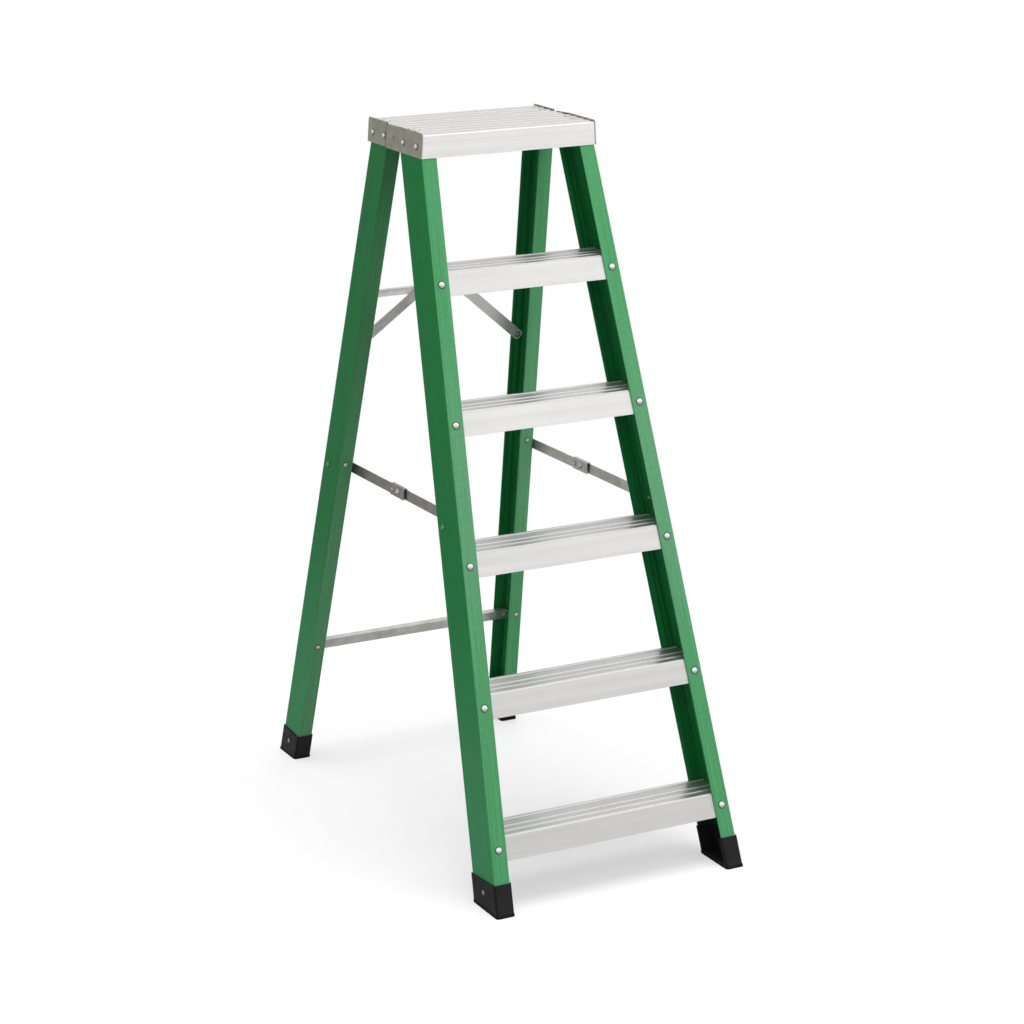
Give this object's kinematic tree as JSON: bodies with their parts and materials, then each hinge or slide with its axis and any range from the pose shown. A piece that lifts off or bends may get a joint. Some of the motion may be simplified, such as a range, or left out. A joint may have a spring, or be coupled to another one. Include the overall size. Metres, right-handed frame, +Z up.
{
  "type": "folding platform stepladder",
  "caption": "Folding fibreglass stepladder with aluminium treads and a ribbed platform top, two-bar spreaders, knee-braced rear frame and rubber boots.",
  "frame": {"origin": "on the floor under the middle of the bounding box, the ladder standing open", "axes": "+Z up, the climbing side faces -Y, +X to the climber's right"},
  "size_m": [0.6594, 1.2244, 1.6952],
  "materials": {
    "fibreglass": "satin green pultruded fibreglass",
    "tread_aluminium": "bright mill-finish extrusion",
    "plate_aluminium": "dull grey plate",
    "zinc_steel": "zinc-plated strip",
    "rivet_metal": "bright domed heads",
    "boot_rubber": "matte black"
  },
  "bodies": {
    "front_frame": {"front_rail_left": "fibreglass", "front_rail_right": "fibreglass", "tread_1": "tread_aluminium", "tread_2": "tread_aluminium", "tread_3": "tread_aluminium", "tread_4": "tread_aluminium", "tread_5": "tread_aluminium", "tread_front_rivets": "rivet_metal", "tread_back_rivets": "rivet_metal", "platform": "tread_aluminium", "platform_bracket_left": "plate_aluminium", "platform_bracket_right": "plate_aluminium", "platform_stop_left": "plate_aluminium", "platform_stop_right": "plate_aluminium", "platform_rivets": "rivet_metal", "front_end_plate_left": "plate_aluminium", "front_end_plate_right": "plate_aluminium", "front_plate_rivets": "rivet_metal", "hinge_pin_left": "rivet_metal", "hinge_pin_right": "rivet_metal", "front_boot_left": "boot_rubber", "front_boot_right": "boot_rubber", "front_boot_rivets": "rivet_metal", "spreader_front_spacer_left": "zinc_steel", "spreader_front_spacer_right": "zinc_steel", "spreader_front_pivot_left": "rivet_metal", "spreader_front_pivot_right": "rivet_metal"},
    "rear_frame": {"rear_rail_left": "fibreglass", "rear_rail_right": "fibreglass", "rear_hinge_plate_left": "plate_aluminium", "rear_hinge_plate_right": "plate_aluminium", "rear_plate_rivets": "rivet_metal", "upper_bar": "zinc_steel", "lower_bar": "zinc_steel", "bar_rivets": "rivet_metal", "knee_brace_left": "zinc_steel", "knee_brace_right": "zinc_steel", "brace_rivets": "rivet_metal", "rail_clips_left": "zinc_steel", "rail_clips_right": "zinc_steel", "clip_rivets": "rivet_metal", "rear_boot_left": "boot_rubber", "rear_boot_right": "boot_rubber", "rear_boot_rivets": "rivet_metal", "spreader_rear_spacer_left": "zinc_steel", "spreader_rear_spacer_right": "zinc_steel", "spreader_rear_pivot_left": "rivet_metal", "spreader_rear_pivot_right": "rivet_metal"},
    "left_front_link": {"spreader_front_link_left": "zinc_steel"},
    "left_rear_link": {"spreader_rear_link_left": "zinc_steel", "spreader_saddle_left": "zinc_steel", "spreader_joint_pins_left": "rivet_metal", "spreader_stud_left": "rivet_metal"},
    "right_front_link": {"spreader_front_link_right": "zinc_steel"},
    "right_rear_link": {"spreader_rear_link_right": "zinc_steel", "spreader_saddle_right": "zinc_steel", "spreader_joint_pins_right": "rivet_metal", "spreader_stud_right": "rivet_metal"}
  },
  "joints": [
    {"name": "rear_fold", "type": "hinge", "parent": "front_frame", "child": "rear_frame", "pos_m": [0, 0.10132, 1.6645], "axis": [-1, 0, 0], "range_deg": [0, 31.9]},
    {"name": "left_spreader_front", "type": "hinge", "parent": "front_frame", "child": "left_front_link", "pos_m": [-0.22192, -0.24474, 0.81772], "axis": [0.9982, 0.003, -0.0598], "range_deg": [0, 52.73]},
    {"name": "left_spreader_mid", "type": "hinge", "parent": "left_front_link", "child": "left_rear_link", "pos_m": [-0.22475, 0.08991, 0.81418], "axis": [-0.9982, -0.003, 0.0598], "range_deg": [0, 154.14]},
    {"name": "right_spreader_front", "type": "hinge", "parent": "front_frame", "child": "right_front_link", "pos_m": [0.27911, -0.24476, 0.8181], "axis": [1, 0, 0], "range_deg": [0, 52.73]},
    {"name": "right_spreader_mid", "type": "hinge", "parent": "right_front_link", "child": "right_rear_link", "pos_m": [0.27751, 0.0899, 0.81442], "axis": [-1, 0, 0], "range_deg": [0, 154.14]}
  ],
  "couplings": [
    {"joint": "left_spreader_front", "follows": "rear_fold", "ratio": 1.6527},
    {"joint": "left_spreader_mid", "follows": "rear_fold", "ratio": 4.8317},
    {"joint": "right_spreader_front", "follows": "rear_fold", "ratio": 1.6527},
    {"joint": "right_spreader_mid", "follows": "rear_fold", "ratio": 4.8317}
  ]
}
